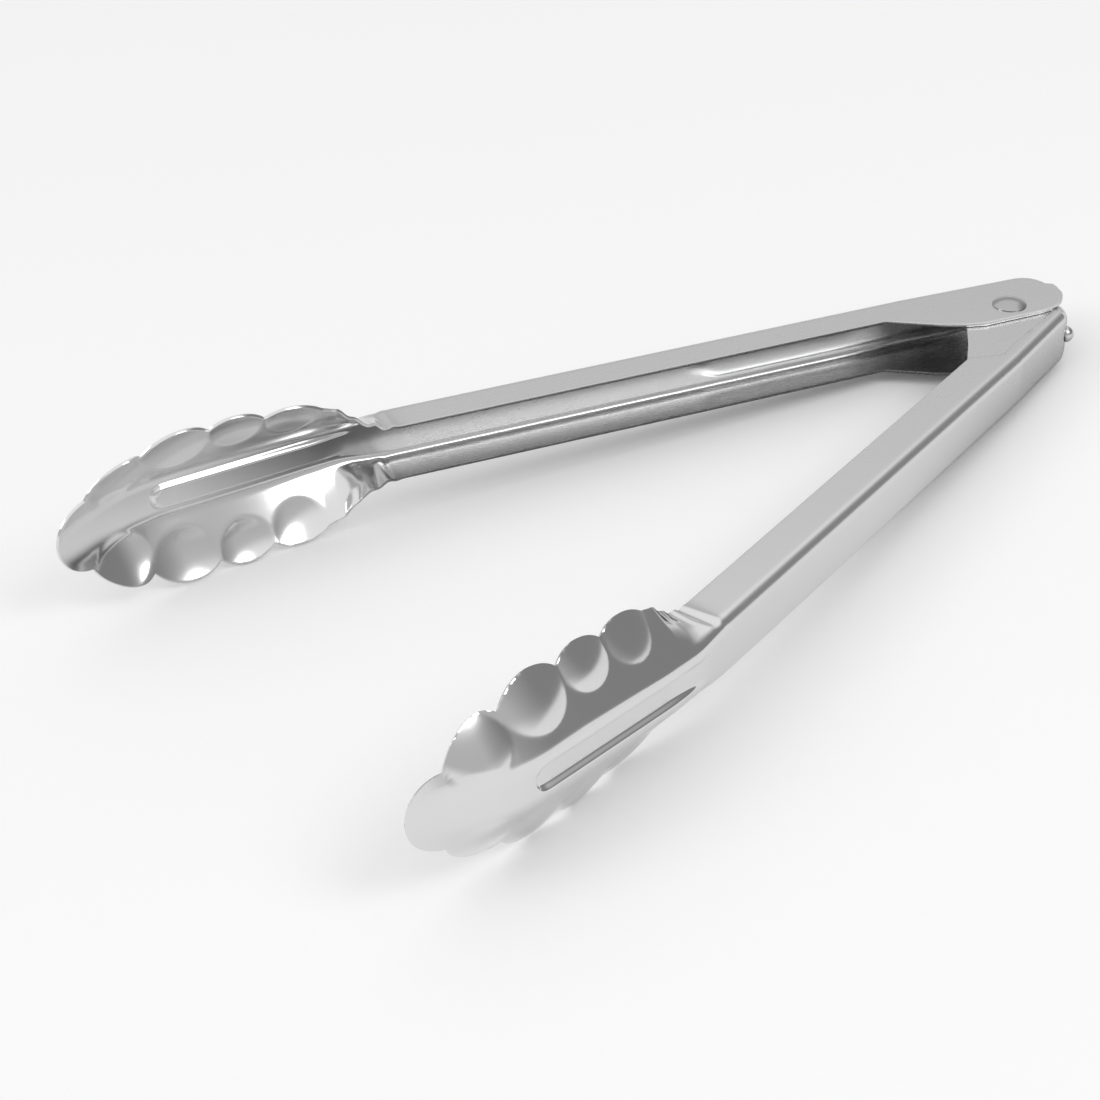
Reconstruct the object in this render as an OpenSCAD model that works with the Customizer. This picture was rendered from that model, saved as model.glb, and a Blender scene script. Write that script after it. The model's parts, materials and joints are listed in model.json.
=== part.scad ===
/* [Arms] */
// Distance from the pivot to the tip of each arm
arm_length = 285; // [270:1:300]
// Angle between each arm and the middle line when the tongs stand open
open_half_angle = 16.27; // [14:0.1:18]
// Thickness of the stainless sheet that both arms are stamped from
sheet = 0.8; // [0.6:0.05:0.9]
// Height of the channel section of the handles
channel_height = 16.5; // [15:0.1:18]
// Distance from the pivot plane to the outside of each handle's back
channel_offset = 17.5; // [16:0.1:19]
// Depth of the channel's side flanges
flange_depth = 12.2; // [11:0.1:13]
// Outside radius of the channel's bends
bend_radius = 2.8; // [2:0.1:3.2]

/* [Claws] */
// Where the channel starts to open into the claw
neck_start = 187; // [183:1:190]
// Radius of the round lobe at the tip
tip_lobe_radius = 10.5; // [9:0.1:12]
// How far the tip curls in past the arm's own plane
tip_inset = 5.3; // [4:0.1:6]
// Half the width of the flat floor between the bends of the claw
floor_half_width = 5.6; // [5.4:0.1:7]
// Depth of the stiffening rib pressed into the claw
rib_depth = 1.4; // [0:0.1:2]
// Place where the rib ends
rib_end = 257; // [250:1:260]

/* [Hinge] */
// Radius of the pivot rivet's shank
rivet_radius = 2.5; // [2:0.1:3]
// Running clearance between the shank and the ears
rivet_clearance = 0.05; // [0.03:0.01:0.1]
// Radius of the rivet's domed heads
head_radius = 5; // [4:0.1:6]
// Height of the rivet's domed heads
head_height = 1.7; // [1:0.1:2.5]
// Gap between each outer ear and the inner ear beside it
ear_gap = 0.12; // [0.08:0.01:0.2]

/* [Spring] */
// Diameter of the spring wire
wire = 1.3; // [1:0.1:1.5]
// Mean radius of the coil
coil_radius = 4; // [3.8:0.1:4.6]
// Number of turns in the coil
coil_turns = 6; // [4:1:7]
// Distance from the pivot to the end of each leg
leg_reach = 34; // [28:1:40]

/* [Hidden] */
$fn = 48;

// The arms are drawn in their own frame: +X from the pivot to the tip, +Y outwards through the
// back of the channel, +Z along the pivot.
half_height = channel_height / 2;
free_edge = channel_offset - flange_depth;
ear_bottom = -7.7;
// The back bends in slightly at the shoulder, between the handle and the hinge
shoulder = [28, channel_offset];
shoulder_angle = 1.86;
outer_corner_radius = 8.4;
inner_corner_radius = 10.6;
outer_back_x = -10.7;
inner_back_x = -2.6;
outer_wrap = 86;
inner_wrap = 48;
// Height of the inner ears' outer faces, which lie inside the outer ears
recessed = half_height - sheet - ear_gap;
joggle_x = 33;
// Depth of the recess's upper edge below the arm's back
recess_depth = 5.2;

// Edge of the claw: place along the arm and half width at each notch between two lobes
notches = [[208.8, 18.2], [224.8, 19.5], [240.4, 20.1], [259.4, 17.9], [276, 10.4]];
// How far each lobe swells past the straight line between its notches
swells = [3, 3.4, 4.6, 4.6];
neck_edge = [[neck_start, half_height], [192, half_height + 0.6], [199, 12.2], [204, 16.6]];
edge_table = concat(neck_edge, notches);
lobe_rows = 5;
tip_rows = 6;
tip_center = arm_length - tip_lobe_radius;
last_notch = notches[len(notches) - 1][0];

function clamp(x, low, high) = min(max(x, low), high);
function smooth(x, a, b) = let(u = clamp((x - a) / (b - a), 0, 1)) u * u * (3 - 2 * u);
function arc(center, radius, from, to, steps) =
    [for (i = [0:steps]) let(a = from + (to - from) * i / steps)
        [center[0] + radius * cos(a), center[1] + radius * sin(a)]];

// Back line of the claw: level with the handle, then a slow bend in, a straight run and the tip's curl
claw_slope = 0.148;
curl_start = 250;
bend_start = 195;
bend_run = 20;
function slow_bend(x) = x < bend_run ? claw_slope * max(x, 0) ^ 2 / (2 * bend_run)
                                     : claw_slope * (x - bend_run / 2);
curl = (channel_offset + tip_inset - slow_bend(arm_length - bend_start)) / (arm_length - curl_start) ^ 2;
function floor_line(x) = channel_offset - slow_bend(x - bend_start) - curl * max(x - curl_start, 0) ^ 2;

tip_flat = 2.6;
function in_tip(x) = x > last_notch;
function edge_width(x) = in_tip(x) ? sqrt(max(tip_lobe_radius ^ 2 - (x - tip_center) ^ 2, tip_flat ^ 2))
                                   : lookup(x, edge_table);
// Height of the claw's edges over the pivot plane where the neck ends; they sink slowly from there
edge_height = 6.2;
neck_end = 200;
edge_drop = 0.00135;
tip_drop = floor_line(last_notch) - (edge_height - edge_drop * (last_notch - neck_end) ^ 2);
function edge_line(x) =
    in_tip(x) ? floor_line(x) - tip_drop * (edge_width(x) / edge_width(last_notch)) ^ 2
              : x < neck_end ? free_edge + (edge_height - free_edge) * smooth(x, neck_start, neck_end)
                             : edge_height - edge_drop * (x - neck_end) ^ 2;

// Swell of a lobe: a circular arc over the chord between two notches
function lobe_swell(x, i) =
    let(a = notches[i][0], b = notches[i + 1][0], half = (b - a) / 2, s = swells[i],
        r = (half ^ 2 + s ^ 2) / (2 * s))
    (x > a && x < b) ? sqrt(r ^ 2 - (x - a - half) ^ 2) - (r - s) : 0;
function swell(x) = lobe_swell(x, 0) + lobe_swell(x, 1) + lobe_swell(x, 2) + lobe_swell(x, 3);

// Corner and rounding of the section, from the channel's tight bend to the tip's shallow bowl
claw_full = 205;
bowl_start = 262;
function corner_at(x) =
    in_tip(x) ? edge_width(x) / 2
              : let(k = smooth(x, neck_start, claw_full), m = smooth(x, bowl_start, last_notch))
                half_height * (1 - k) + (floor_half_width * (1 - m) + edge_width(x) / 2 * m) * k;
bowl_rounding = 0.3;
floor_rounding = 2;
// A quadratic curve that meets a right-angled circular bend at its middle starts this much earlier
corner_fit = 1.17;
function rounding_at(x) =
    in_tip(x) ? edge_width(x) * bowl_rounding
              : let(k = smooth(x, neck_start, claw_full), m = smooth(x, bowl_start, last_notch))
                bend_radius * corner_fit * (1 - k)
                + (floor_rounding * (1 - m) + edge_width(x) * bowl_rounding * m) * k;
// The rib fades in over this run, and out again at its end
rib_run = [196, 212];
function rib_at(x) =
    rib_depth * smooth(x, rib_run[0], rib_run[1]) * (1 - smooth(x, rib_end - 3, rib_end + 1));

// Half section of the claw's outer skin as [z, y] points, from the middle line to the edge
floor_steps = [0, 0.8, 0.98];
rib_steps = [1, 1, 0];
bend_steps = [0, 0.25, 0.5, 0.75, 1];
wing_steps = [0.5, 1];
function bezier(a, b, c, u) = (1 - u) ^ 2 * a + 2 * u * (1 - u) * b + u ^ 2 * c;
function half_section(x) =
    let(y = floor_line(x), c = corner_at(x), r = rounding_at(x), corner = [c, y],
        chord = [edge_width(x), edge_line(x)] - corner, wing = norm(chord), dir = chord / wing,
        r2 = min(r, wing * 0.6), start = [c - r, y], stop = corner + dir * r2,
        edge = corner + dir * (wing + swell(x)))
    concat([for (i = [0:len(floor_steps) - 1])
                [floor_steps[i] * (c - r), y - rib_steps[i] * rib_at(x)]],
           [for (u = bend_steps) bezier(start, corner, stop, u)],
           [for (u = wing_steps) stop + (edge - stop) * u]);

half_count = len(floor_steps) + len(bend_steps) + len(wing_steps);
skin_count = 2 * half_count - 1;
function mirrored(half) =
    concat([for (i = [half_count - 1:-1:1]) [-half[i][0], half[i][1]]], half);
// Moves a section inwards, square to itself
function inset(points, depth) =
    [for (i = [0:len(points) - 1])
        let(d = points[min(i + 1, len(points) - 1)] - points[max(i - 1, 0)], n = norm(d))
        points[i] + [d[1], -d[0]] / n * depth];

// Half section of the channel with half height c, down to a depth below its back
function channel_half(y, depth, c = half_height) =
    let(r = bend_radius * corner_fit)
    concat([for (u = floor_steps) [u * (c - r), y]],
           [for (u = bend_steps) bezier([c - r, y], [c, y], [c, y - r], u)],
           [for (u = wing_steps) [c, y - r - (depth - r) * u]]);

// The back line turns in at the shoulder, then runs round a corner at the hinge end
function back_point(x) = shoulder - (shoulder[0] - x) * [1, tan(shoulder_angle)];
function corner_center(x, radius) =
    back_point(x) - radius * [-sin(shoulder_angle), cos(shoulder_angle)];

// The first stretch of each flange, which the flat ears overlap from lap_depth on. The ears lie
// a hair inside the flange's surfaces.
profile_depth = recess_depth + sheet / 2;
lap_depth = profile_depth - 0.6;
// Depth of the inner arm's flange round its back, clear of the outer ears when the tongs are open
end_depth = 4.4;
skin_step = 0.02;

// Each row of the sheet is a place, an angle and a half section square to the back line there. The
// end of the rounded back has a half height and a depth of its own.
corner_rows = 8;
squeeze_angles = [6, 24];
function corner_row(center, radius, angle, end_half, end_depth) =
    let(k = smooth(angle, squeeze_angles[0], squeeze_angles[1]))
    [center, angle, channel_half(radius, end_depth, half_height + (end_half - half_height) * k)];
function hinge_rows(back_x, radius, wrap, flange_x, end_half, end_depth) = concat(
    [for (i = [0:corner_rows])
        corner_row(corner_center(back_x, radius), radius,
                   wrap + (shoulder_angle - wrap) * i / corner_rows, end_half, end_depth)],
    [[shoulder, shoulder_angle / 2, channel_half(0, profile_depth)],
     [[flange_x - sheet / 2, 0], 0, channel_half(channel_offset, profile_depth)],
     [[flange_x, 0], 0, channel_half(channel_offset, flange_depth)]]);

lobe_places = [for (i = [0:len(notches) - 2]) for (k = [0:lobe_rows - 1])
    notches[i][0] + (notches[i + 1][0] - notches[i][0]) * k / lobe_rows];
tip_places = [for (k = [1:tip_rows - 1]) tip_center + tip_lobe_radius * sin(10 + 70 * k / tip_rows)];
claw_places = concat([neck_start, 190, 194, 199, 204], lobe_places, [last_notch], tip_places,
                     [arm_length]);
claw_rows = [for (x = claw_places) [[x, 0], 0, half_section(x)]];

// Places the points of a section at its row
function on_row(row, points) = [for (p = points)
    [row[0][0] - sin(row[1]) * p[1], row[0][1] + cos(row[1]) * p[1], p[0]]];

// One sheet swept through its rows, with the stamped thickness laid inwards
module stamped_sheet(rows) {
    ring = 2 * skin_count;
    skins = [for (row = rows) let(s = mirrored(row[2]))
        concat(on_row(row, s), on_row(row, inset(s, sheet)))];
    // Points of one row run along the outer skin and come back along the inner skin
    loop = concat([for (j = [0:skin_count - 1]) j], [for (j = [skin_count - 1:-1:0]) skin_count + j]);
    sides = [for (i = [0:len(rows) - 2]) for (j = [0:ring - 1])
        let(a = i * ring + loop[j], b = i * ring + loop[(j + 1) % ring]) each
            [[a, b + ring, b], [a, a + ring, b + ring]]];
    caps = [for (end = [0, len(rows) - 1]) for (j = [0:skin_count - 2])
        let(a = end * ring + j, b = a + 1, c = a + skin_count, d = b + skin_count) each
            (end == 0 ? [[a, d, c], [a, b, d]] : [[a, c, d], [a, d, b]])];
    polyhedron(points = [for (row = skins) each row], faces = concat(sides, caps), convexity = 8);
}

// Flat plate between two heights, with its twin on the other side of the arm
module both_plates(low, high, step) {
    for (side = [0, 1]) mirror([0, 0, side])
        translate([0, 0, low + step]) linear_extrude(high - low - 2 * step) children();
}

module pivot_bore() {
    cylinder(r = rivet_radius + rivet_clearance, h = channel_height + 2, center = true);
}

// Outer ear: slopes down from the handle, runs round under the pivot and up to the rounded back
module outer_ear() {
    corner = corner_center(outer_back_x, outer_corner_radius);
    polygon(concat([back_point(52) - [0, lap_depth], [52, free_edge + sheet / 8],
                    [38, free_edge + sheet / 8]],
                   [[25, -3], [18.5, -6], [12.5, ear_bottom], [-5, ear_bottom]],
                   arc([-6.3, 5.1], 12.8, 276, 200, 8), [[-19, 4]],
                   arc(corner, outer_corner_radius - sheet * 2, 180, 170, 1),
                   arc(corner, outer_corner_radius - lap_depth, 170, 102, 5),
                   [shoulder - [0, lap_depth]]));
}

// Inner ear: the same slope, and a squarer heel that meets the outer arm's back when open
module inner_ear() {
    x = joggle_x - sheet / 2;
    polygon(concat([[x, 3.5], [17, -5.2], [11, ear_bottom], [-6, ear_bottom], [-9.6, -8.2],
                    [-11.4, -6.2], [-12, 2], [-11.6, 8]],
                   arc(corner_center(inner_back_x, inner_corner_radius),
                       inner_corner_radius - end_depth + sheet / 2, 90 + inner_wrap - 6, 96, 5),
                   [back_point(-1) - [0, end_depth + sheet / 2], back_point(x) - [0, profile_depth]]));
}

// Step that joins the recessed ear to the flange at full height
module joggle_wall() {
    polygon([[joggle_x, 4.2], back_point(joggle_x) - [0, recess_depth],
             back_point(-1) - [0, end_depth], back_point(-1) - [0, end_depth + sheet],
             back_point(joggle_x - sheet) - [0, recess_depth + sheet], [joggle_x - sheet, 3.7]]);
}

module outer_shell() {
    difference() {
        union() {
            stamped_sheet(concat(hinge_rows(outer_back_x, outer_corner_radius, outer_wrap, 48,
                                            half_height, profile_depth), claw_rows));
            both_plates(half_height - sheet, half_height, skin_step) outer_ear();
        }
        pivot_bore();
    }
}

anchor_turn = 24;
anchor_radius = 1.5;
anchor_tail = 1.2;

// Puts a shape on the rounded back of the inner arm, its +Z pointing out of the sheet
module on_inner_back() {
    center = corner_center(inner_back_x, inner_corner_radius);
    translate([center[0], center[1], 0]) rotate([0, 0, anchor_turn])
        translate([0, inner_corner_radius, 0]) rotate([-90, 0, 0]) children();
}

module inner_shell() {
    difference() {
        union() {
            stamped_sheet(concat(hinge_rows(inner_back_x, inner_corner_radius, inner_wrap, joggle_x,
                                            recessed, end_depth), claw_rows));
            both_plates(recessed - sheet, recessed, skin_step) inner_ear();
            both_plates(recessed - sheet, half_height, 2 * skin_step) joggle_wall();
        }
        pivot_bore();
        on_inner_back() cylinder(r = anchor_radius + skin_step, h = 6, center = true);
    }
}

// Places an arm drawn in its own frame: side 1 is the far arm, side -1 the near arm
module place_arm(side) {
    translate([pivot_x, 0, pivot_z]) mirror([0, side > 0 ? 1 : 0, 0])
        rotate([0, 0, 180 + open_half_angle]) children();
}

// The whole object rests on its claws' lower lobes, centred over the origin
claw_half_width = max([for (x = claw_places) half_section(x)[half_count - 1][0]]);
back_corner = corner_center(outer_back_x, outer_corner_radius);
reach_back = -back_corner[0] * cos(open_half_angle) + back_corner[1] * sin(open_half_angle)
             + outer_corner_radius;
reach_front = arm_length * cos(open_half_angle) + tip_inset * sin(open_half_angle);
pivot_x = (reach_front - reach_back) / 2;
pivot_z = claw_half_width;

module outer_arm() {
    color("gainsboro") place_arm(1) outer_shell();
}

module inner_arm() {
    color("lightgray") place_arm(-1) inner_shell();
}

// Domed head as a slice of a ball, flat side down
module dome(radius, height) {
    ball = (radius ^ 2 + height ^ 2) / (2 * height);
    rotate_extrude() intersection() {
        translate([0, height - ball]) circle(ball, $fn = 96);
        square([radius, height]);
    }
}

module pivot_rivet() {
    color("silver") translate([pivot_x, 0, pivot_z]) {
        cylinder(r = rivet_radius, h = channel_height, center = true);
        for (side = [0, 1]) mirror([0, 0, side]) translate([0, 0, half_height])
            dome(head_radius, head_height);
    }
}

// Small rivet through the inner arm's rounded back that holds one leg of the spring
module spring_anchor_rivet() {
    color("silver") place_arm(-1) on_inner_back() {
        translate([0, 0, -sheet - anchor_tail]) cylinder(r = anchor_radius, h = sheet + anchor_tail);
        dome(2.4, 2.3);
    }
}

// Torsion spring: one leg lies on the outer arm's back, the coil is wound round the rivet and the
// other leg is held by the anchor rivet. Closing the tongs winds the coil tighter.
pitch = wire + 0.15;
steps_per_turn = 12;
ring_sides = 8;
// World direction of an angle measured in an arm's own frame
function arm_angle(side, a) = 180 - side * (open_half_angle + a);
// Angle at which a leg that ends at the given place leaves the coil, in the arm's own frame
function leave_angle(place, way) = atan2(place[1], place[0]) + way * acos(coil_radius / norm(place));
function polar(r, a, z) = [r * cos(a), r * sin(a), z];
far_place = [leg_reach, channel_offset - sheet - wire / 2 - 0.15];
near_place = let(a = 90 + anchor_turn, r = inner_corner_radius - sheet - wire / 2 - 0.3,
                 center = corner_center(inner_back_x, inner_corner_radius))
             center + r * [cos(a), sin(a)];
coil_from = arm_angle(1, leave_angle(far_place, 1));
coil_to = arm_angle(-1, leave_angle(near_place, 1)) - 360 * (coil_turns + 1);
coil_steps = ceil((coil_from - coil_to) / 360 * steps_per_turn);
coil_top = pitch * (coil_from - coil_to) / 720;
function leg_end(side, place, z) =
    polar(norm(place), arm_angle(side, atan2(place[1], place[0])), z);
spring_path = concat(
    [leg_end(1, far_place, coil_top)],
    [for (i = [0:coil_steps]) let(u = i / coil_steps)
        polar(coil_radius, coil_from + (coil_to - coil_from) * u, coil_top * (1 - 2 * u))],
    [leg_end(-1, near_place, -anchor_radius - wire / 2 - 0.1)]);

module torsion_spring() {
    last = len(spring_path) - 1;
    rings = [for (i = [0:last])
        let(t = spring_path[min(i + 1, last)] - spring_path[max(i - 1, 0)], side = cross(t, [0, 0, 1]),
            e = side / norm(side), up = cross(e, t), f = up / norm(up))
        [for (k = [0:ring_sides - 1]) let(a = 360 * k / ring_sides)
            spring_path[i] + wire / 2 * (e * cos(a) + f * sin(a))]];
    walls = [for (i = [0:last - 1]) for (k = [0:ring_sides - 1])
        let(a = i * ring_sides + k, b = i * ring_sides + (k + 1) % ring_sides) each
            [[a, b, b + ring_sides], [a, b + ring_sides, a + ring_sides]]];
    start = [for (k = [ring_sides - 1:-1:0]) k];
    stop = [for (k = [0:ring_sides - 1]) last * ring_sides + k];
    color("darkgray") translate([pivot_x, 0, pivot_z])
        polyhedron(points = [for (r = rings) each r], faces = concat(walls, [start, stop]),
                   convexity = 8);
}

outer_arm();
inner_arm();
pivot_rivet();
torsion_spring();
spring_anchor_rivet();
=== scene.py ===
import json
import math

import bpy
import numpy as np
from mathutils import Matrix, Vector


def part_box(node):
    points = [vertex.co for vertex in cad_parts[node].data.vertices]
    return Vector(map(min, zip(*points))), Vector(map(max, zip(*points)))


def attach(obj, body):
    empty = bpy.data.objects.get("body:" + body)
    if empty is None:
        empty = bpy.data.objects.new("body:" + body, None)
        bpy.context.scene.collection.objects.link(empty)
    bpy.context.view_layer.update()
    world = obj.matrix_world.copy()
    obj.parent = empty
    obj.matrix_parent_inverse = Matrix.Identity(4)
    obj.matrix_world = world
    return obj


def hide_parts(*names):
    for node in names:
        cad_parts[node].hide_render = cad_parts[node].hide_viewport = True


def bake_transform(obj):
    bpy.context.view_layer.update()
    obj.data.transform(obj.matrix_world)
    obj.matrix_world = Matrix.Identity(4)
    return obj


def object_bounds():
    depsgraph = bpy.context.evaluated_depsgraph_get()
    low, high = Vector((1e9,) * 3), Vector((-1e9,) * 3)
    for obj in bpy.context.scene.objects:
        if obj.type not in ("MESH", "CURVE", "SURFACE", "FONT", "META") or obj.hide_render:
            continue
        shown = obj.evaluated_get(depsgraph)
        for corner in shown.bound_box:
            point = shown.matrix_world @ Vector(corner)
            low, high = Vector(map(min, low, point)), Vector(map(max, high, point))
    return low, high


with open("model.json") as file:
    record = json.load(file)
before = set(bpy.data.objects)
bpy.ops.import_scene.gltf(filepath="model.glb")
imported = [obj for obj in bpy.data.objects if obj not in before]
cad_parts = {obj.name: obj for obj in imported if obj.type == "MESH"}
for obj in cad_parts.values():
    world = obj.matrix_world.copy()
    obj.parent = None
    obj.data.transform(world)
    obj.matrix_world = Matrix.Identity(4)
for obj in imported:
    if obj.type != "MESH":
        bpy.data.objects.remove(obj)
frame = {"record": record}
cad_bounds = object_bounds()

# ---- Camera ----
# A long lens looks down over the claws of the open tongs, with the hinge at the far right. Its place is
# measured from the pivot, in the directions of the picture's own right, up and back.
MM = 0.001
HINGE = frame["record"]["behaviour"]["joints"][0]
PIVOT = Vector(HINGE["pos_m"])
CAMERA_FROM_PIVOT = (-134.298, -64.786, 733.405)
azimuth, elevation, roll = (math.radians(a) for a in (-38.762, 31.873, -1.006))
back = Vector((math.sin(azimuth) * math.cos(elevation), -math.cos(azimuth) * math.cos(elevation),
               math.sin(elevation)))
level = Vector((math.cos(azimuth), math.sin(azimuth), 0))
right = math.cos(roll) * level + math.sin(roll) * back.cross(level)
up = back.cross(right)
frame_axes = Matrix((right, up, back)).transposed()
bpy.ops.object.camera_add(location=PIVOT + frame_axes @ Vector(CAMERA_FROM_PIVOT) * MM)
camera = bpy.context.object
camera.name = "studio_camera"
camera.rotation_euler = frame_axes.to_euler()
camera.data.sensor_width = 36
camera.data.lens = 81.69
camera.data.clip_start, camera.data.clip_end = 0.05, 20
bpy.context.scene.camera = camera

# ---- Studio ----
# A plain white table, with soft boxes above it and a grey room around it. The tongs rest on the claws'
# lower lobes and the rivet's lower head, so the table slopes up to the hinge in the tongs' own frame.
TABLE_SIZE = 6.0
TABLE_GAP = 0.3 * MM
PATCH_PLACE = Vector((0.15, 0.022, 0))
PATCH_REACH = Vector((0.15, 0.06, 0))
head_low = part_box("pivot_rivet")[0]
claw_x = cad_bounds[0].x + 40 * MM
slope = math.atan2(head_low.z, PIVOT.x - claw_x)
bpy.ops.mesh.primitive_plane_add(size=TABLE_SIZE, location=(claw_x, 0, -TABLE_GAP),
                                 rotation=(0, -slope, 0))
table = bpy.context.object
table.name = "table_top"
table_paint = bpy.data.materials.new("white_table")
table_paint.use_nodes = True
table_nodes, table_links = table_paint.node_tree.nodes, table_paint.node_tree.links
paint = table_nodes["Principled BSDF"]
paint.inputs["Roughness"].default_value = 0.6
# Between the arms the table has a shaded patch that only reflections see. It gives the channels the
# dark bands of a larger, darker room. The camera itself sees the table plain, and a little brighter.
ray = table_nodes.new("ShaderNodeLightPath")
spot = table_nodes.new("ShaderNodeTexCoord")
patch = table_nodes.new("ShaderNodeVectorMath")
patch.operation = "MULTIPLY_ADD"
patch.inputs[1].default_value = (1 / PATCH_REACH.x, 1 / PATCH_REACH.y, 0)
patch.inputs[2].default_value = (-PATCH_PLACE.x / PATCH_REACH.x, -PATCH_PLACE.y / PATCH_REACH.y, 0)
table_links.new(spot.outputs["Object"], patch.inputs[0])
distance = table_nodes.new("ShaderNodeVectorMath")
distance.operation = "LENGTH"
table_links.new(patch.outputs["Vector"], distance.inputs[0])
shade = table_nodes.new("ShaderNodeMapRange")
shade.interpolation_type = "SMOOTHSTEP"
for socket, value in (("From Min", 1.2), ("From Max", 0.6), ("To Min", 0.0), ("To Max", 1.0)):
    shade.inputs[socket].default_value = value
table_links.new(distance.outputs["Value"], shade.inputs["Value"])
seen = table_nodes.new("ShaderNodeMath")
seen.operation = "MULTIPLY"
table_links.new(shade.outputs["Result"], seen.inputs[0])
table_links.new(ray.outputs["Is Glossy Ray"], seen.inputs[1])
surface = table_nodes.new("ShaderNodeMix")
surface.data_type = "RGBA"
surface.inputs["A"].default_value = (0.93, 0.93, 0.93, 1)
surface.inputs["B"].default_value = (0.06, 0.06, 0.06, 1)
table_links.new(seen.outputs[0], surface.inputs["Factor"])
table_links.new(surface.outputs["Result"], paint.inputs["Base Color"])
glow = table_nodes.new("ShaderNodeMath")
glow.operation = "MULTIPLY"
glow.inputs[1].default_value = 0.07
table_links.new(ray.outputs["Is Camera Ray"], glow.inputs[0])
paint.inputs["Emission Color"].default_value = (1, 1, 1, 1)
table_links.new(glow.outputs[0], paint.inputs["Emission Strength"])
table.data.materials.append(table_paint)


def soft_box(name, place, size, power):
    """Round area light at a place round the tongs, facing them."""
    place = Vector(place)
    bpy.ops.object.light_add(type="AREA", location=place,
                             rotation=place.to_track_quat("Z", "Y").to_euler())
    lamp = bpy.context.object
    lamp.name = name
    lamp.data.shape, lamp.data.size, lamp.data.energy = "DISK", size, power


soft_box("front_box", (0.30, -1.05, 1.25), 0.8, 4.4)
soft_box("left_box", (-1.5, 0.5, 1.0), 0.8, 4.0)

world = bpy.data.worlds.new("grey_room")
bpy.context.scene.world = world
world.use_nodes = True
room = world.node_tree
direction = room.nodes.new("ShaderNodeTexCoord")
parts = room.nodes.new("ShaderNodeSeparateXYZ")
room.links.new(direction.outputs["Generated"], parts.inputs[0])


def room_ramp(value, stops):
    """Greys of the room at places along a value, whose two ends are given first."""
    ramp = room.nodes.new("ShaderNodeValToRGB")
    room.links.new(value, ramp.inputs["Fac"])
    for n, (place, grey) in enumerate(stops):
        stop = ramp.color_ramp.elements[n] if n < 2 else ramp.color_ramp.elements.new(place)
        stop.position, stop.color = place, (grey, grey, grey, 1)
    return ramp.outputs["Color"]


# The walls are grey between the pale floor and the white ceiling, and one side is a dark curtain.
CURTAIN_SIDE = Vector((0.86, -0.40, 0.32))
CURTAIN_GREY = 0.26
ROOM_LIGHT = 0.95
walls = room_ramp(parts.outputs["Z"], ((0.0, 0.95), (1.0, 1.0), (0.15, 0.55), (0.48, 0.58), (0.62, 0.95)))
curtain_side = room.nodes.new("ShaderNodeVectorMath")
curtain_side.operation = "DOT_PRODUCT"
curtain_side.inputs[1].default_value = CURTAIN_SIDE.normalized()
room.links.new(direction.outputs["Generated"], curtain_side.inputs[0])
curtain = room_ramp(curtain_side.outputs["Value"], ((0.72, 0.0), (0.93, 1.0)))
blend = room.nodes.new("ShaderNodeMix")
blend.data_type = "RGBA"
blend.inputs["B"].default_value = (CURTAIN_GREY, CURTAIN_GREY, CURTAIN_GREY, 1)
room.links.new(curtain, blend.inputs["Factor"])
room.links.new(walls, blend.inputs["A"])
room.links.new(blend.outputs["Result"], room.nodes["Background"].inputs["Color"])
room.nodes["Background"].inputs["Strength"].default_value = ROOM_LIGHT
bpy.context.scene.view_settings.view_transform = "Standard"


# ---- Stainless steel ----
# Every piece is stainless steel, polished after stamping. One node group draws what wear leaves on
# it: fine grain along the piece, a few hairline scratches, and faint smears from hands and washing.
# The claws are brighter than the handles, which hands have worn to a satin.
def build_wear_group():
    group = bpy.data.node_groups.new("polish_and_wear", "ShaderNodeTree")
    for name, kind in (("Grain Length", "NodeSocketVector"), ("Scratches", "NodeSocketFloat"),
                       ("Smears", "NodeSocketFloat")):
        group.interface.new_socket(name, in_out="INPUT", socket_type=kind)
    for name in ("Grain", "Scratch Mask", "Smear Mask"):
        group.interface.new_socket(name, in_out="OUTPUT", socket_type="NodeSocketFloat")
    nodes, links = group.nodes, group.links
    given, out = nodes.new("NodeGroupInput"), nodes.new("NodeGroupOutput")

    def noise(scale, detail, vector):
        node = nodes.new("ShaderNodeTexNoise")
        node.inputs["Scale"].default_value = scale
        node.inputs["Detail"].default_value = detail
        links.new(vector, node.inputs["Vector"])
        return node.outputs["Fac"]

    def ramp(value, low, high):
        node = nodes.new("ShaderNodeMapRange")
        node.inputs["From Min"].default_value, node.inputs["From Max"].default_value = low, high
        links.new(value, node.inputs["Value"])
        return node.outputs["Result"]

    def times(value, factor):
        node = nodes.new("ShaderNodeMath")
        node.operation = "MULTIPLY"
        links.new(value, node.inputs[0])
        links.new(factor, node.inputs[1])
        return node.outputs[0]

    place = given.outputs["Grain Length"]
    links.new(noise(2600, 2, place), out.inputs["Grain"])
    scratch = ramp(noise(160, 1, place), 0.66, 0.74)
    links.new(times(scratch, given.outputs["Scratches"]), out.inputs["Scratch Mask"])
    smear = ramp(noise(28, 4, place), 0.45, 0.75)
    links.new(times(smear, given.outputs["Smears"]), out.inputs["Smear Mask"])
    return group


WEAR = build_wear_group()
HANDLE_AXIS = frame["record"]["mounts"][0]["axis"]
HALF_ANGLE = math.atan2(HANDLE_AXIS[0], HANDLE_AXIS[1])
# Where the claws' polish ends, measured from the origin along an arm towards the hinge, and the run in
# which the handles' satin sets in
CLAW_FROM = PIVOT.x * math.cos(HALF_ANGLE) - 200 * MM
SATIN_RUN = 20 * MM


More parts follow.
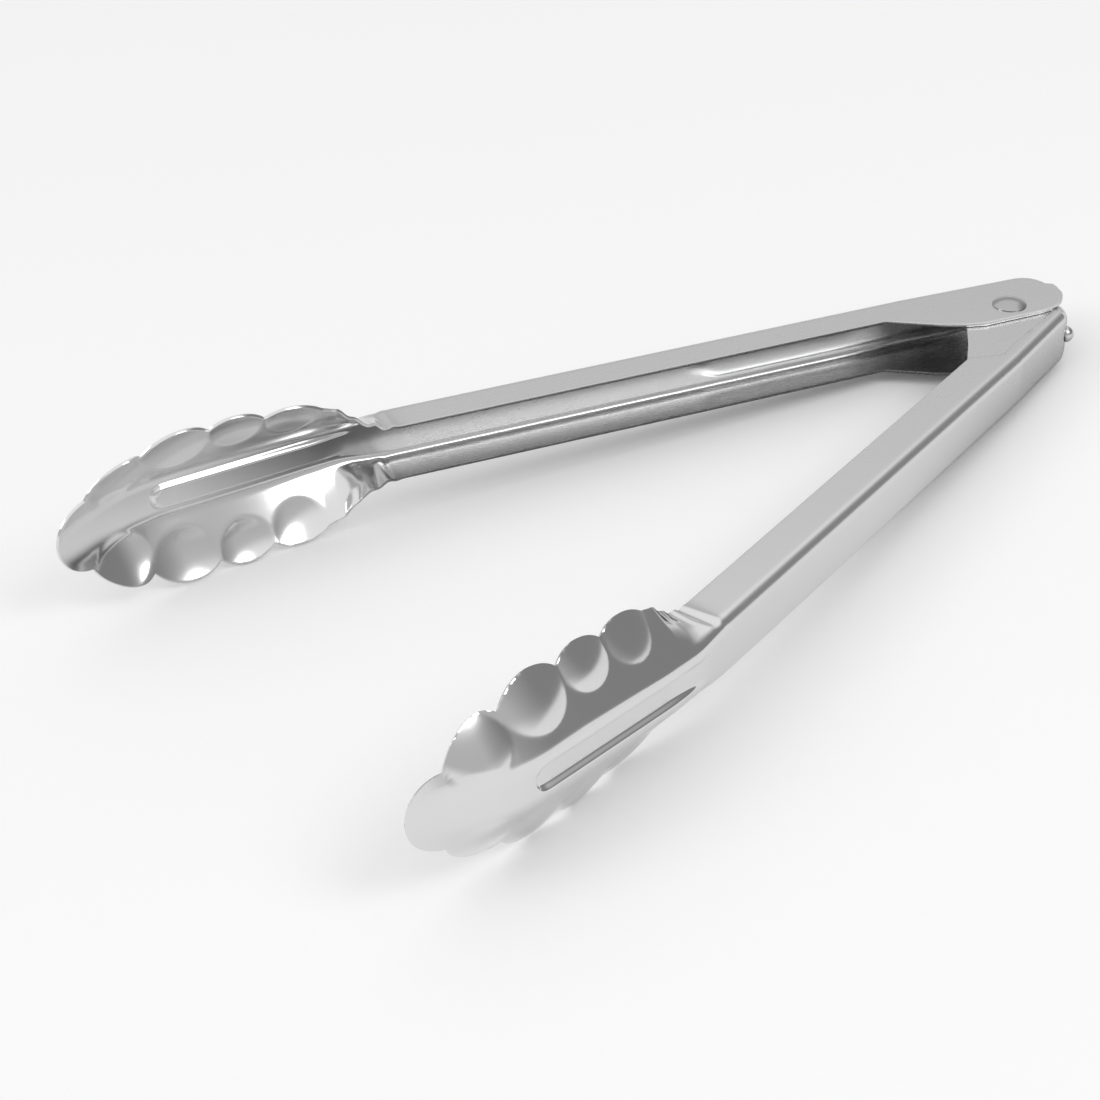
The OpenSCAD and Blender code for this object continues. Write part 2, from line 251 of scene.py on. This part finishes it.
def stainless(name, grey, gloss, turn=0.0, stretch=12.0, satin=0.0, scratches=0.3, smears=0.3, bump=0.003):
    """Polished stainless steel whose grain runs along the piece, turned about Z to follow it. Satin is
    the roughness that the handles have over the claws."""
    material = bpy.data.materials.new(name)
    material.use_nodes = True
    nodes, links = material.node_tree.nodes, material.node_tree.links
    steel = nodes["Principled BSDF"]
    steel.inputs["Metallic"].default_value = 1.0
    steel.inputs["Specular IOR Level"].default_value = 0.5
    where, along = nodes.new("ShaderNodeTexCoord"), nodes.new("ShaderNodeMapping")
    along.vector_type = "TEXTURE"
    along.inputs["Rotation"].default_value = (0, 0, turn)
    along.inputs["Scale"].default_value = (stretch, 1, 1)
    links.new(where.outputs["Object"], along.inputs["Vector"])
    wear = nodes.new("ShaderNodeGroup")
    wear.node_tree = WEAR
    wear.inputs["Scratches"].default_value = scratches
    wear.inputs["Smears"].default_value = smears
    links.new(along.outputs["Vector"], wear.inputs["Grain Length"])

    def spread(value, low, high):
        node = nodes.new("ShaderNodeMapRange")
        node.inputs["To Min"].default_value, node.inputs["To Max"].default_value = low, high
        links.new(value, node.inputs["Value"])
        return node.outputs["Result"]

    rough = nodes.new("ShaderNodeMath")
    rough.operation = "ADD"
    links.new(spread(wear.outputs["Grain"], gloss * 0.9, gloss * 1.1), rough.inputs[0])
    links.new(spread(wear.outputs["Smear Mask"], 0.0, 0.08), rough.inputs[1])
    length = nodes.new("ShaderNodeSeparateXYZ")
    links.new(along.outputs["Vector"], length.inputs[0])
    handle = nodes.new("ShaderNodeMapRange")
    handle.inputs["From Min"].default_value = CLAW_FROM / stretch
    handle.inputs["From Max"].default_value = (CLAW_FROM + SATIN_RUN) / stretch
    handle.inputs["To Max"].default_value = satin
    links.new(length.outputs["X"], handle.inputs["Value"])
    total = nodes.new("ShaderNodeMath")
    total.operation = "ADD"
    links.new(rough.outputs[0], total.inputs[0])
    links.new(handle.outputs["Result"], total.inputs[1])
    links.new(total.outputs[0], steel.inputs["Roughness"])
    tone = nodes.new("ShaderNodeMix")
    tone.data_type = "RGBA"
    tone.inputs["A"].default_value = (grey, grey, grey, 1)
    tone.inputs["B"].default_value = (grey * 0.86, grey * 0.86, grey * 0.87, 1)
    links.new(wear.outputs["Smear Mask"], tone.inputs["Factor"])
    links.new(tone.outputs["Result"], steel.inputs["Base Color"])
    height = nodes.new("ShaderNodeMath")
    height.operation = "SUBTRACT"
    links.new(spread(wear.outputs["Grain"], 0.0, 1.0), height.inputs[0])
    links.new(wear.outputs["Scratch Mask"], height.inputs[1])
    dent = nodes.new("ShaderNodeBump")
    dent.inputs["Strength"].default_value = bump
    dent.inputs["Distance"].default_value = 0.0001
    links.new(height.outputs[0], dent.inputs["Height"])
    links.new(dent.outputs["Normal"], steel.inputs["Normal"])
    return material


# ---- The arms ----
# Each arm is one stamping of 0.8 mm stainless sheet: a channel handle, two flat ears at the hinge and a
# ribbed claw with a scalloped edge. All sizes here are in mm in the arm's own frame: +X from the pivot
# to the tip, +Y outwards through the channel's back, +Z along the pivot.
SHEET = 0.8
HALF_HEIGHT = 8.25
OFFSET = 17.5
BEND = 2.8
FREE_EDGE = 5.3
NECK = 187.0
TIP = 285.0
TIP_RADIUS = 10.5
TIP_CENTER = TIP - TIP_RADIUS
SHOULDER = (28.0, OFFSET)
SHOULDER_ANGLE = math.radians(1.86)
NOTCHES = ((208.8, 18.2), (224.8, 19.5), (240.4, 20.1), (259.4, 17.9), (276.0, 10.4))
SWELLS = (3.0, 3.4, 4.6, 4.6)
NECK_EDGE = ((NECK, HALF_HEIGHT), (192.0, 8.85), (199.0, 12.2), (204.0, 16.6))
LAST_NOTCH, LAST_WIDTH = NOTCHES[-1]
# Back line of the claw: where it starts to bend in, over what run and how steeply, and the tip's curl
BEND_START, BEND_RUN, CLAW_SLOPE = 195.0, 20.0, 0.148
CURL_START, TIP_INSET = 250.0, 5.3
# Height of the claw's edges over the pivot plane where the neck ends; they sink slowly from there
NECK_END, EDGE_HEIGHT, EDGE_DROP = 200.0, 6.2, 0.00135
# The section is a full claw's from here on, and turns into the tip's shallow bowl from there
CLAW_FULL, BOWL_START = 205.0, 262.0
FLOOR_HALF_WIDTH, FLOOR_ROUNDING, BOWL_ROUNDING = 5.6, 2.0, 0.3
# A quadratic curve that meets a right-angled circular bend at its middle starts this much earlier
CORNER_FIT = 1.17


def smooth(x, low, high):
    """0 below low and 1 above high, with an even ease between them."""
    u = np.clip((x - low) / (high - low), 0, 1)
    return u * u * (3 - 2 * u)


def slow_bend(x):
    """How far the claw's back has bent in, this far past the start of the bend."""
    return CLAW_SLOPE * np.where(x < BEND_RUN, np.maximum(x, 0) ** 2 / (2 * BEND_RUN), x - BEND_RUN / 2)


CURL = (OFFSET + TIP_INSET - slow_bend(TIP - BEND_START)) / (TIP - CURL_START) ** 2


def floor_line(x):
    """Back of the claw: a slow bend in, a straight run and the tip's curl."""
    return OFFSET - slow_bend(x - BEND_START) - CURL * np.maximum(x - CURL_START, 0) ** 2


def edge_width(x):
    """Half width of the claw at its edge, without the lobes' swell."""
    places, widths = zip(*NECK_EDGE, *NOTCHES)
    tip = np.sqrt(np.maximum(TIP_RADIUS ** 2 - (x - TIP_CENTER) ** 2, 0.3 ** 2))
    return np.where(x > LAST_NOTCH, tip, np.interp(x, places, widths))


def wing_edge(x):
    """Height of the claw's edge over the pivot plane, past the neck."""
    return EDGE_HEIGHT - EDGE_DROP * (x - NECK_END) ** 2


def edge_line(x):
    """Height of the sheet's edge over the pivot plane, from the neck to the tip."""
    neck = FREE_EDGE + (EDGE_HEIGHT - FREE_EDGE) * smooth(x, NECK, NECK_END)
    drop = floor_line(LAST_NOTCH) - wing_edge(LAST_NOTCH)
    tip = floor_line(x) - drop * (edge_width(x) / LAST_WIDTH) ** 2
    return np.where(x > LAST_NOTCH, tip, np.where(x < NECK_END, neck, wing_edge(x)))


def lobes():
    """Place, half chord, radius and swell of each round lobe between two notches."""
    for (a, _), (b, _), swell in zip(NOTCHES, NOTCHES[1:], SWELLS):
        half = (b - a) / 2
        yield (a + b) / 2, half, (half ** 2 + swell ** 2) / (2 * swell), swell


def lobe_swell(x):
    """How far the lobe at x stands out past the straight line between its notches."""
    return sum(np.where(np.abs(x - c) < half,
                        np.sqrt(np.maximum(r ** 2 - (x - c) ** 2, 0)) - (r - swell), 0)
               for c, half, r, swell in lobes())


# Columns of the sheet's grid across half a section: the flat floor, with more of them at the rib's wall,
# then the bend, then the wing or the channel's flange
FLOOR_COLUMNS = np.concatenate([np.linspace(0, 2.0, 5), np.linspace(2.3, 3.6, 13)]) / 3.6
BEND_COLUMNS = np.linspace(0, 1, 9)
WING_COLUMNS = np.linspace(0, 1, 27)[1:]


def claw_half_row(x):
    """Half section of the claw's outside at x, from the middle line to the edge, as (y, z) points."""
    k, m = smooth(x, NECK, CLAW_FULL), smooth(x, BOWL_START, LAST_NOTCH)
    width, y = float(edge_width(x)), float(floor_line(x))
    if x > LAST_NOTCH:
        corner, r = width / 2, width * BOWL_ROUNDING
    else:
        corner = HALF_HEIGHT * (1 - k) + (FLOOR_HALF_WIDTH * (1 - m) + width / 2 * m) * k
        r = BEND * CORNER_FIT * (1 - k) + (FLOOR_ROUNDING * (1 - m) + width * BOWL_ROUNDING * m) * k
    knee = np.array((y, corner))
    run = np.array((float(edge_line(x)), width)) - knee
    wing = float(np.hypot(*run))
    along = run / wing
    start, stop = np.array((y, corner - r)), knee + along * min(r, wing * 0.6)
    edge = knee + along * (wing + float(lobe_swell(x)))
    floor = [np.array((y, (corner - r) * u)) for u in FLOOR_COLUMNS]
    bend = [(1 - u) ** 2 * start + 2 * u * (1 - u) * knee + u * u * stop for u in BEND_COLUMNS[1:]]
    return np.array(floor + bend + [stop + (edge - stop) * u for u in WING_COLUMNS])


def back_point(x):
    """Point on the arm's back, which bends in slightly from the shoulder to the hinge."""
    return np.array((x, SHOULDER[1] - max(SHOULDER[0] - x, 0) * math.tan(SHOULDER_ANGLE)))


def square_to(angle):
    """Outward direction of a back line that has turned by the angle."""
    return np.array((-math.sin(angle), math.cos(angle)))


# The first columns of a flange, by depth below the back: they follow the inner ears' step. A flange
# that is shorter than this has them drawn together.
DEPTHS = np.array((3.6, 4.5, 4.9, 5.2, 5.5, 5.9, 6.3))
SHORT_FLANGE = 6.0


def channel_half_row(place, angle, target, via=None):
    """Half section of the channel where its back has a place and an angle, as (x, y, z) points. Its
    flange is flat and ends at the target, a point on the free edge, by way of another point if given."""
    out = square_to(angle)
    floor = [(*place, (HALF_HEIGHT - BEND) * u) for u in FLOOR_COLUMNS]
    bend = [(*(place - out * BEND * (1 - math.cos(a))), HALF_HEIGHT - BEND * (1 - math.sin(a)))
            for a in BEND_COLUMNS[1:] * math.pi / 2]
    top = place - out * BEND
    path = np.array([top, top if via is None else via, target])
    runs = np.concatenate([[0], np.cumsum(np.hypot(*np.diff(path, axis=0).T))])
    head = (DEPTHS - BEND) * min(1, runs[-1] / SHORT_FLANGE)
    depths = np.concatenate([head, np.linspace(head[-1], runs[-1], 20)[1:]])
    flange = [(np.interp(d, runs, path[:, 0]), np.interp(d, runs, path[:, 1]), HALF_HEIGHT) for d in depths]
    return np.array(floor + bend + flange)


def along_outline(points, count):
    """Evenly spaced points on an open outline."""
    points = np.array(points)
    runs = np.concatenate([[0], np.cumsum(np.hypot(*np.diff(points, axis=0).T))])
    steps = np.linspace(0, runs[-1], count)
    return np.stack([np.interp(steps, runs, points[:, i]) for i in (0, 1)], axis=1)


def hinge_rows(back_x, radius, wrap, free_edge, heel, turn_down=False):
    """Rows from the end of the rounded back to the neck. free_edge is the ears' lower edge from the
    handle to below the rounded back; heel is their edge from there to the end of the back. The rows
    of a back that wraps far round turn down level with its end."""
    slope = SHOULDER_ANGLE
    center = back_point(back_x) - square_to(slope) * radius
    turns = np.linspace(math.radians(wrap), slope, 40)
    targets = along_outline(heel, len(turns))[::-1]
    tops = np.array([center + square_to(t) * (radius - BEND) for t in turns])
    level = np.linspace(tops[0], (tops[-1][0], tops[0][1]), len(turns))
    rows = [channel_half_row(center + square_to(t) * radius, t, target, via if turn_down else None)
            for t, target, via in zip(turns, targets, level)]
    # Rows stand closer at the inner ears' step, and at the far end of the outer arm's bead
    places = np.concatenate([np.linspace(back_x, 28, 40)[1:], np.linspace(28.6, 38, 24),
                             np.linspace(39, 92, 54), np.linspace(95, NECK, 36)])
    edge_x, edge_y = np.array(free_edge)[::-1].T
    for x in places:
        tilt = slope * (1 - smooth(x, 24, 32))
        rows.append(channel_half_row(back_point(x), tilt, (x, np.interp(x, edge_x, edge_y))))
    return rows


def curve(center, radius, start, stop, count):
    """Points on an arc between two angles in degrees."""
    turns = np.radians(np.linspace(start, stop, count))
    return [(center[0] + radius * math.cos(t), center[1] + radius * math.sin(t)) for t in turns]


# The rib's depth, the middle of its round end, its wall by distance from the middle line, and the run
# in which it fades in
RIB_DEPTH, RIB_END = 1.4, 253.0
RIB_WALL = (2.4, 3.7)
RIB_RUN = (196.0, 212.0)
# Each lobe is dished by this much. Its round has its middle inside the two notches by the inset, reaches
# past them by the margin, and is narrowed across the wing, which stands up.
DISH_DEPTH, DISH_INSET, DISH_MARGIN, WING_TILT = 1.2, 1.3, 1.5, 0.86
# Crinkles left at the neck's edges, where the sheet was gathered as the channel was opened out
FOLD_DEPTH, FOLD_RATE, FOLD_IN, FOLD_OUT = 0.45, 1.15, (187.5, 191.0), (200.0, 206.0)


def press_claw(points):
    """Presses the rib, the lobes' dishes and the neck's crinkles into the claw's outside."""
    x, y, z = points[..., 0], points[..., 1], points[..., 2]
    t = np.abs(z)
    from_axis = np.hypot(t, np.maximum(x - RIB_END, 0))
    y = y - RIB_DEPTH * (1 - smooth(from_axis, *RIB_WALL)) * smooth(x, *RIB_RUN)
    dish = np.zeros_like(x)
    for c, half, _, _ in lobes():
        middle = np.interp(c, *zip(*NOTCHES)) - DISH_INSET
        rho = np.hypot(x - c, (t - middle) / WING_TILT) / math.hypot(half, DISH_MARGIN)
        dish = np.maximum(dish, DISH_DEPTH * (1 - rho ** 2))
    y = y + dish
    fold = FOLD_DEPTH * np.sin((x - NECK) * FOLD_RATE) * smooth(x, *FOLD_IN) * (1 - smooth(x, *FOLD_OUT))
    near_edge = smooth(t / np.maximum(edge_width(x), 1), 0.8, 1.0)
    z = z + np.sign(z) * fold * near_edge
    y = y + 0.4 * fold * near_edge
    return np.stack([x, y, z], axis=-1)


EDGE_ROUNDING = 0.12


def stamp_sheet(name, rows, side):
    """One stamping: a grid laid over the rows of its outside, given the sheet's thickness inwards."""
    half = np.array(rows)
    full = np.concatenate([half[:, :0:-1] * (1, 1, -1), half], axis=1)
    across, along = full.shape[1], full.shape[0]
    bpy.ops.object.select_all(action="DESELECT")
    bpy.ops.mesh.primitive_grid_add(x_subdivisions=along - 1, y_subdivisions=across - 1, size=1)
    sheet = bpy.context.object
    sheet.name = name
    flat = np.array([v.co for v in sheet.data.vertices])
    i = np.rint((flat[:, 0] + 0.5) * (along - 1)).astype(int)
    j = np.rint((flat[:, 1] + 0.5) * (across - 1)).astype(int)
    placed = to_tongs(full[i, j], side)
    sheet.data.vertices.foreach_set("co", placed.ravel())
    sheet.data.update()
    if sum(side * p.normal.y * p.area for p in sheet.data.polygons) < 0:
        bpy.ops.object.mode_set(mode="EDIT")
        bpy.ops.mesh.select_all(action="SELECT")
        bpy.ops.mesh.flip_normals()
        bpy.ops.object.mode_set(mode="OBJECT")
    wall = sheet.modifiers.new("thickness", "SOLIDIFY")
    wall.thickness, wall.offset, wall.use_even_offset = SHEET * MM, -1, True
    rim = sheet.modifiers.new("trimmed_edge", "BEVEL")
    rim.width, rim.segments, rim.limit_method = EDGE_ROUNDING * MM, 2, "ANGLE"
    rim.angle_limit = math.radians(55)
    for modifier in ("thickness", "trimmed_edge"):
        bpy.ops.object.modifier_apply(modifier=modifier)
    return sheet


def to_tongs(points, side):
    """Arm points in mm to metres in the tongs' frame; side is 1 for the outer arm, -1 for the inner."""
    c, s = math.cos(HALF_ANGLE), math.sin(HALF_ANGLE)
    x, y, z = points[..., 0], points[..., 1], points[..., 2]
    return np.stack([PIVOT.x + (-x * c + y * s) * MM, PIVOT.y + side * (x * s + y * c) * MM,
                     PIVOT.z + z * MM], axis=-1)


BORE = 2.55


def bore_pivot_hole(sheet):
    """Drills the rivet's hole through both ears, after they are stamped."""
    bpy.ops.mesh.primitive_cylinder_add(vertices=64, radius=BORE * MM, depth=30 * MM, location=PIVOT)
    drill = bpy.context.object
    cut = sheet.modifiers.new("pivot_hole", "BOOLEAN")
    cut.object, cut.operation, cut.solver = drill, "DIFFERENCE", "EXACT"
    bpy.ops.object.select_all(action="DESELECT")
    bpy.context.view_layer.objects.active = sheet
    sheet.select_set(True)
    bpy.ops.object.modifier_apply(modifier="pivot_hole")
    bpy.data.objects.remove(drill)
    bpy.ops.object.shade_smooth_by_angle(angle=math.radians(35))


round_tip = TIP_CENTER + TIP_RADIUS * np.sin(np.radians(np.linspace(9.5, 90, 30)))
claw_places = np.concatenate([np.linspace(NECK + 0.6, LAST_NOTCH, 150), round_tip])
flat_claw = [np.insert(claw_half_row(x), 0, x, axis=1) for x in claw_places]
claw_rows = list(press_claw(np.array(flat_claw)))


# ---- Outer arm ----
# The far arm. Its ears lie outside and its back wraps round the whole hinge end. A shallow bead is
# pressed into the web, from the hinge to about a third of the way along.
BEAD_DEPTH, BEAD_WALL, BEAD_RUN, BEAD_END = 0.45, (3.2, 4.6), (6.0, 20.0), 84.0
outer_edge = [(NECK, FREE_EDGE), (38, FREE_EDGE), (25, -3), (18.5, -6), (12.5, -7.7), (-5, -7.7),
              *curve((-6.3, 5.1), 12.8, 275, 250, 6)]
outer_heel = [*curve((-6.3, 5.1), 12.8, 250, 200, 10), (-18.9, 4.5), (-18.9, 6.3)]
outer_rows = hinge_rows(-10.7, 8.4, 86, outer_edge, outer_heel, turn_down=True)
for row in outer_rows:
    x, t = row[:, 0], np.abs(row[:, 2])
    from_bead = np.hypot(t, np.maximum(x - BEAD_END, 0) * 0.5)
    bead = BEAD_DEPTH * (1 - smooth(from_bead, *BEAD_WALL)) * smooth(x, *BEAD_RUN) * (t < 6)
    row[:, 1] -= np.where(row[:, 1] > 10, bead, 0)
outer = stamp_sheet("outer_arm_stamping", outer_rows + claw_rows, 1)
bore_pivot_hole(outer)
outer.data.materials.append(stainless("stamped_steel_outer", 0.78, 0.14, turn=-HALF_ANGLE, satin=0.12))
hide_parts("outer_arm")
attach(outer, "outer_arm_body")


# ---- Inner arm ----
# The near arm: the same stamping with its ears stepped inwards by a sheet's thickness, so that they lie
# between the outer arm's ears, and a squarer heel that stops the tongs opening too far.
INNER_BACK, INNER_RADIUS = -2.6, 10.6
RECESS_DEPTH = 5.2
inner_edge = [(NECK, FREE_EDGE), (38, FREE_EDGE), (28, 0.7), (17, -5.2), (11, -7.7), (-6, -7.7)]
inner_heel = [(-2.6, -7.7), (-6, -7.7), (-9.6, -8.2), (-11.4, -6.2), (-12, 2), (-11.6, 8)]
inner_rows = hinge_rows(INNER_BACK, INNER_RADIUS, 48, inner_edge, inner_heel)
# The step's height, with the running gap between the ears. Its upper edge lies at the recess's depth
# below the back, and its front slants down towards the handle's free edge.
STEP = SHEET + 0.14
corner = back_point(INNER_BACK) - square_to(SHOULDER_ANGLE) * INNER_RADIUS
flange = np.arange(len(inner_rows[0])) >= len(FLOOR_COLUMNS) + len(BEND_COLUMNS) - 1
for row in inner_rows:
    x, y = row[:, 0], row[:, 1]
    turn = math.degrees(math.atan2(corner[0] - x[0], y[0] - corner[1]))
    in_corner = x[0] < INNER_BACK
    squeeze = smooth(turn, 6, 24) if in_corner else 0.0
    if in_corner:
        depth = INNER_RADIUS - np.hypot(x - corner[0], y - corner[1])
        depth[y < corner[1]] = INNER_RADIUS
    else:
        depth = np.array([back_point(px)[1] for px in x]) - y
    edge = RECESS_DEPTH - 0.8 * (1 - smooth(x, -3, 20))
    front = 29 + np.clip(12.3 - y, 0, 8)
    stepped = smooth(depth, edge - 0.35, edge + 0.45) * (1 - smooth(x - front, -1.0, 1.0)) * flange
    row[:, 2] -= STEP * np.maximum(stepped, squeeze) * np.minimum(row[:, 2] / 3, 1)
inner = stamp_sheet("inner_arm_stamping", inner_rows + claw_rows, -1)
bore_pivot_hole(inner)
inner.data.materials.append(stainless("stamped_steel_inner", 0.78, 0.14, turn=HALF_ANGLE, satin=0.12))
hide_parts("inner_arm")
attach(inner, "inner_arm_body")


# ---- Pivot rivet ----
# One stainless rivet through all four ears, with a low domed head on each side, headed over cold so
# that the ears can still turn on its shank.
def turn_piece(name, outline, place, axis=(0, 0, 1)):
    """Round piece spun from its outline, (radius, height) points in mm from the axis to the axis."""
    mesh = bpy.data.meshes.new(name)
    points = [(r * MM, 0, h * MM) for r, h in outline]
    mesh.from_pydata(points, [(n, n + 1) for n in range(len(points) - 1)], [])
    piece = bpy.data.objects.new(name, mesh)
    bpy.context.collection.objects.link(piece)
    bpy.ops.object.select_all(action="DESELECT")
    bpy.context.view_layer.objects.active = piece
    piece.select_set(True)
    bpy.ops.object.mode_set(mode="EDIT")
    bpy.ops.mesh.select_all(action="SELECT")
    bpy.ops.mesh.spin(steps=72, angle=math.tau, center=(0, 0, 0), axis=(0, 0, 1))
    bpy.ops.mesh.select_all(action="SELECT")
    bpy.ops.mesh.remove_doubles(threshold=1e-6)
    bpy.ops.mesh.normals_make_consistent(inside=False)
    bpy.ops.object.mode_set(mode="OBJECT")
    mesh.transform(Matrix.Translation(place) @ Vector(axis).to_track_quat("Z", "Y").to_matrix().to_4x4())
    bpy.ops.object.shade_smooth_by_angle(angle=math.radians(40))
    return piece


def dome_outline(radius, height, base, lip=0.25, steps=16):
    """Outline of a domed head from its lip on the sheet to its top on the axis."""
    rise = height - lip
    ball = (radius ** 2 + rise ** 2) / (2 * rise)
    span = math.asin(radius / ball)
    turns = [span * (1 - n / steps) for n in range(steps + 1)]
    return [(ball * math.sin(t), base + lip + ball * math.cos(t) - (ball - rise)) for t in turns]


HEAD_RADIUS, HEAD_HEIGHT, SHANK = 5.0, 1.7, 2.5
top_half = [(SHANK, 0), (SHANK, HALF_HEIGHT), (HEAD_RADIUS - 0.12, HALF_HEIGHT),
            (HEAD_RADIUS, HALF_HEIGHT + 0.12), *dome_outline(HEAD_RADIUS, HEAD_HEIGHT, HALF_HEIGHT)]
rivet = turn_piece("pivot_rivet_steel", [(r, -h) for r, h in reversed(top_half)] + top_half[1:], PIVOT)
rivet.data.materials.append(stainless("rivet_steel", 0.48, 0.12, stretch=1.0))
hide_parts("pivot_rivet")
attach(rivet, "outer_arm_body")


# ---- Spring anchor rivet ----
# A small round-headed rivet through the inner arm's rounded back, just below the pivot. Its tail
# stands inside the channel and holds one leg of the spring.
ANCHOR_TURN = math.radians(24)
ANCHOR_RADIUS, ANCHOR_HEAD, ANCHOR_RISE = 1.5, 2.4, 2.3
out = square_to(ANCHOR_TURN)
foot = corner + out * INNER_RADIUS
foot_place, = to_tongs(np.array([[foot[0], foot[1], 0.0]]), -1)
tail_place, = to_tongs(np.array([[foot[0] - out[0], foot[1] - out[1], 0.0]]), -1)
anchor_outline = [(0, -2.0), (1.3, -2.0), (ANCHOR_RADIUS, -1.8), (ANCHOR_RADIUS, 0), (2.3, 0),
                  *dome_outline(ANCHOR_HEAD, ANCHOR_RISE, 0)]
anchor = turn_piece("spring_anchor_rivet_steel", anchor_outline, Vector(foot_place),
                    Vector(foot_place) - Vector(tail_place))
anchor.data.materials.append(stainless("anchor_steel", 0.66, 0.18, stretch=1.0))
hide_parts("spring_anchor_rivet")
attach(anchor, "inner_arm_body")


# ---- Torsion spring ----
# Hard-drawn stainless wire, 1.3 mm thick, wound six times round the rivet between the ears. One leg
# lies along the outer arm's back and the other bears on the anchor rivet, so it pushes the arms open.
WIRE, COIL_RADIUS, COIL_TURNS, PITCH = 1.3, 4.0, 6, 1.45


def arm_turn(side, place):
    """Direction in the tongs' frame of a place in an arm's own frame, as an angle."""
    return math.pi - side * (HALF_ANGLE + math.atan2(place[1], place[0]))


def leave_turn(side, place):
    """Angle at which a leg that ends at the place leaves the coil."""
    return arm_turn(side, place) - side * math.acos(COIL_RADIUS / math.hypot(*place))


far_end = (34.0, OFFSET - SHEET - WIRE / 2 - 0.15)
near_end = corner + square_to(ANCHOR_TURN) * (INNER_RADIUS - SHEET - WIRE / 2 - 0.3)
wind_from = leave_turn(1, far_end)
wind_to = leave_turn(-1, near_end) - math.tau * (COIL_TURNS + 1)
coil_top = PITCH * (wind_from - wind_to) / math.tau / 2
steps = int(COIL_TURNS * 40)


def leg_end(side, place, height):
    """Place in the tongs' frame, from the pivot, of the end of a leg that is given in an arm's frame."""
    turn, far = arm_turn(side, place), math.hypot(*place)
    return (far * math.cos(turn), far * math.sin(turn), height)


coil = [(COIL_RADIUS * math.cos(t), COIL_RADIUS * math.sin(t), coil_top * (1 - 2 * n / steps))
        for n in range(steps + 1) for t in [wind_from + (wind_to - wind_from) * n / steps]]
first = Vector(leg_end(1, far_end, coil_top))
last = Vector(leg_end(-1, near_end, -ANCHOR_RADIUS - WIRE / 2 - 0.1))
far_leg = [first.lerp(Vector(coil[0]), n / 14) for n in range(14)]
near_leg = [Vector(coil[-1]).lerp(last, n / 10) for n in range(1, 11)]
wire_path = far_leg + [Vector(p) for p in coil] + near_leg
wire_curve = bpy.data.curves.new("torsion_spring_wire", "CURVE")
wire_curve.dimensions = "3D"
wire_curve.bevel_depth, wire_curve.bevel_resolution = WIRE / 2 * MM, 5
wire_curve.use_fill_caps = True
line = wire_curve.splines.new("POLY")
line.points.add(len(wire_path) - 1)
for point, place in zip(line.points, wire_path):
    point.co = (*(PIVOT + place * MM), 1)
spring = bpy.data.objects.new("torsion_spring_wire", wire_curve)
bpy.context.collection.objects.link(spring)
bpy.ops.object.select_all(action="DESELECT")
bpy.context.view_layer.objects.active = spring
spring.select_set(True)
bpy.ops.object.convert(target="MESH")
spring = bpy.context.object
bpy.ops.object.shade_smooth_by_angle(angle=math.radians(40))
spring.data.materials.append(stainless("spring_wire_steel", 0.45, 0.28, stretch=1.0))
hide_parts("torsion_spring")
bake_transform(spring)
